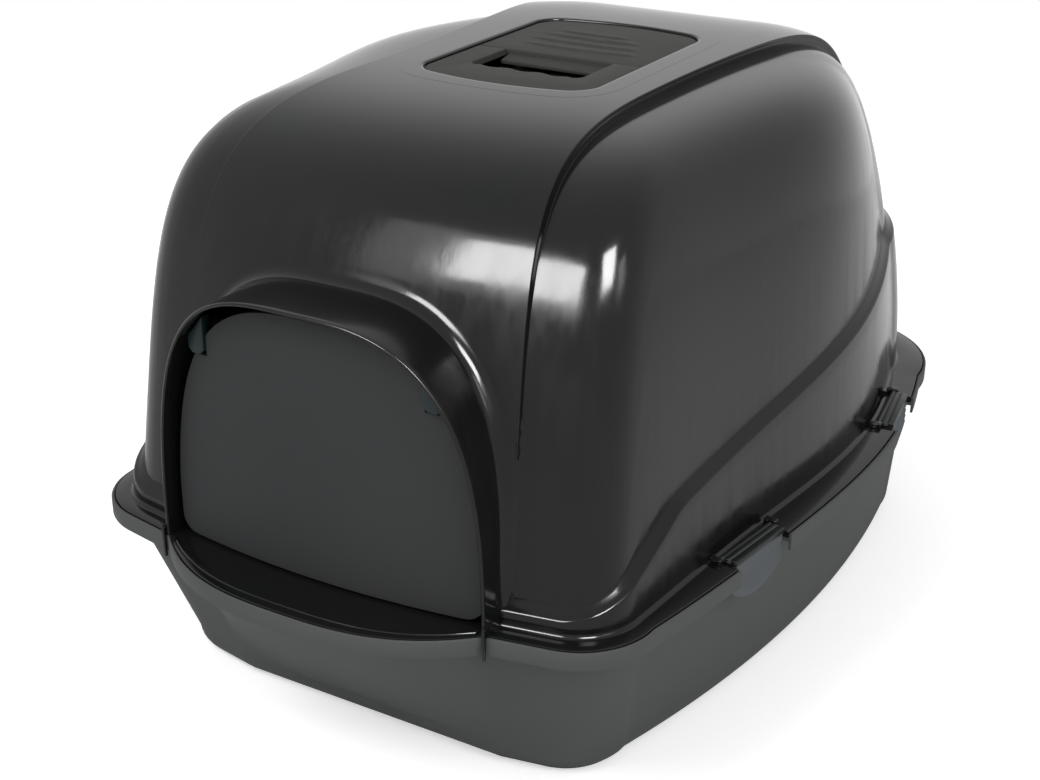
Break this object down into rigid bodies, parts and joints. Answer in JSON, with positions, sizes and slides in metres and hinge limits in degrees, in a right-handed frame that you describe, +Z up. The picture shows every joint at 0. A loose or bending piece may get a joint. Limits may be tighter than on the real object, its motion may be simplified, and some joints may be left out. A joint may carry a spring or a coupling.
{
  "type": "hooded cat litter box",
  "caption": "Hooded cat litter box: tapered tray, domed hood with arched visor and swinging flap, folding top handle, hinged filter cover and side clips.",
  "frame": {"origin": "on the floor, under the middle of the object's box", "axes": "+Z up, the doorway faces -Y, +X to the right when seen from behind the object"},
  "size_m": [0.4868, 0.6425, 0.4],
  "materials": {
    "tray_grey": "matt moulded polypropylene",
    "hood_black": "high-gloss moulded polypropylene",
    "flap_grey": "matt",
    "bracket_black": "satin",
    "panel_grey": "matt",
    "pin_black": "matt",
    "carbon_felt": "felt"
  },
  "bodies": {
    "tray": {"base_pan": "tray_grey"},
    "hood": {"hood_shell": "hood_black", "flap_bracket_left": "bracket_black", "flap_bracket_right": "bracket_black", "flap_pin_left": "pin_black", "flap_pin_right": "pin_black", "handle_pin_left": "pin_black", "handle_pin_right": "pin_black", "cover_pin_left": "pin_black", "cover_pin_right": "pin_black", "carbon_filter": "carbon_felt", "clip_pin_front_left": "pin_black", "clip_pin_front_right": "pin_black", "clip_pin_rear_left": "pin_black", "clip_pin_rear_right": "pin_black"},
    "flap": {"door_flap": "flap_grey"},
    "handle": {"carry_handle": "panel_grey"},
    "cover": {"filter_cover": "panel_grey"},
    "clip_front_left": {"side_clip_front_left": "tray_grey"},
    "clip_front_right": {"side_clip_front_right": "tray_grey"},
    "clip_rear_left": {"side_clip_rear_left": "tray_grey"},
    "clip_rear_right": {"side_clip_rear_right": "tray_grey"}
  },
  "joints": [
    {"name": "hood_lift", "type": "slide", "parent": "tray", "child": "hood", "axis": [0, 0, 1], "range_m": [0, 0.18]},
    {"name": "flap_hinge", "type": "hinge", "parent": "hood", "child": "flap", "pos_m": [0, -0.27249, 0.272], "axis": [1, 0, 0], "range_deg": [-75, 50]},
    {"name": "handle_hinge", "type": "hinge", "parent": "hood", "child": "handle", "pos_m": [0, 0.0175, 0.3949], "axis": [-1, 0, 0], "range_deg": [0, 90]},
    {"name": "cover_hinge", "type": "hinge", "parent": "hood", "child": "cover", "pos_m": [0, 0.0317, 0.3949], "axis": [1, 0, 0], "range_deg": [0, 80]},
    {"name": "clip_front_right_hinge", "type": "hinge", "parent": "hood", "child": "clip_front_right", "pos_m": [0.21116, -0.09734, 0.1291], "axis": [-0.1491, -0.9888, 0], "range_deg": [0, 90]},
    {"name": "clip_front_left_hinge", "type": "hinge", "parent": "hood", "child": "clip_front_left", "pos_m": [-0.21116, -0.09734, 0.1291], "axis": [-0.1491, 0.9888, 0], "range_deg": [0, 90]},
    {"name": "clip_rear_right_hinge", "type": "hinge", "parent": "hood", "child": "clip_rear_right", "pos_m": [0.22167, 0.14788, 0.1291], "axis": [0.1283, -0.9917, 0], "range_deg": [0, 90]},
    {"name": "clip_rear_left_hinge", "type": "hinge", "parent": "hood", "child": "clip_rear_left", "pos_m": [-0.22167, 0.14788, 0.1291], "axis": [0.1283, 0.9917, 0], "range_deg": [0, 90]}
  ]
}
